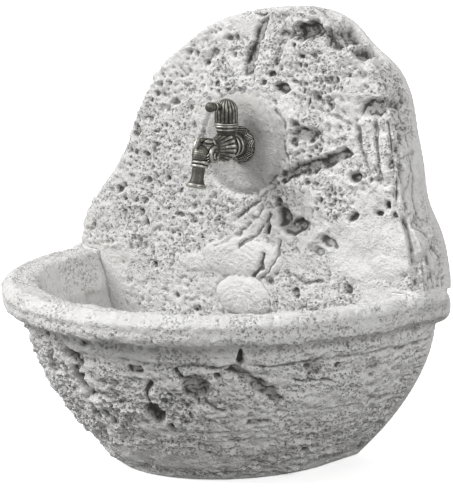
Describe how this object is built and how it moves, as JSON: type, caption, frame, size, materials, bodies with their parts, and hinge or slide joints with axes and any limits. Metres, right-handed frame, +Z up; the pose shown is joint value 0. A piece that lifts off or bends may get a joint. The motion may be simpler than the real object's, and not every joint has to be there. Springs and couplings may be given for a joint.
{
  "type": "wall fountain",
  "caption": "Cast-stone wall fountain: rock-faced arched back slab bedded in a half-round basin with a rolled rim, bronze bib tap with quarter-turn handle, and a strainer waste.",
  "frame": {"origin": "under the middle of the fountain's footprint box, on the surface it stands on", "axes": "+Z up, +Y into the wall, +X to the right for someone facing the fountain"},
  "size_m": [0.6014, 0.4182, 0.6076],
  "materials": {
    "cast_stone": "rock-faced cast stone, pale grey, matt, pitted",
    "mortar": "fine pale mortar, flush",
    "dark_bronze": "cast, antiqued dark with rubbed bright edges",
    "plain_brass": "machined",
    "stainless": "brushed",
    "zinc_steel": "zinc plated",
    "rubber": "moulded",
    "fibre": "pressed fibre",
    "valve_ceramic": "lapped",
    "plug_plastic": "moulded nylon"
  },
  "bodies": {
    "fountain": {"basin": "cast_stone", "back_slab": "cast_stone", "bed_mortar": "mortar", "dowel_pins": "stainless", "supply_nipple": "plain_brass", "inlet_washer": "fibre", "nipple_washer": "rubber", "nipple_locknut": "plain_brass", "wall_rosette": "dark_bronze", "tap_body": "dark_bronze", "spout_nozzle": "dark_bronze", "valve_bonnet": "dark_bronze", "bonnet_o_ring": "rubber", "seat_seal": "rubber", "fixed_disc": "valve_ceramic", "waste_strainer": "stainless", "waste_top_seal": "rubber", "waste_body": "plain_brass", "waste_lower_seal": "rubber", "waste_backnut": "plain_brass", "waste_screw": "stainless", "hanger_plates": "zinc_steel", "hanger_screws": "stainless", "hanger_plugs": "plug_plastic"},
    "handle": {"handle_cap": "dark_bronze", "handle_grub_screw": "stainless", "valve_spindle": "plain_brass", "drive_disc": "valve_ceramic", "spindle_o_rings": "rubber", "spindle_clip": "stainless"}
  },
  "joints": [
    {"name": "handle_turn", "type": "hinge", "parent": "fountain", "child": "handle", "pos_m": [0.007, 0.09969, 0.4675], "axis": [0, 0, 1], "range_deg": [0, 90]}
  ]
}
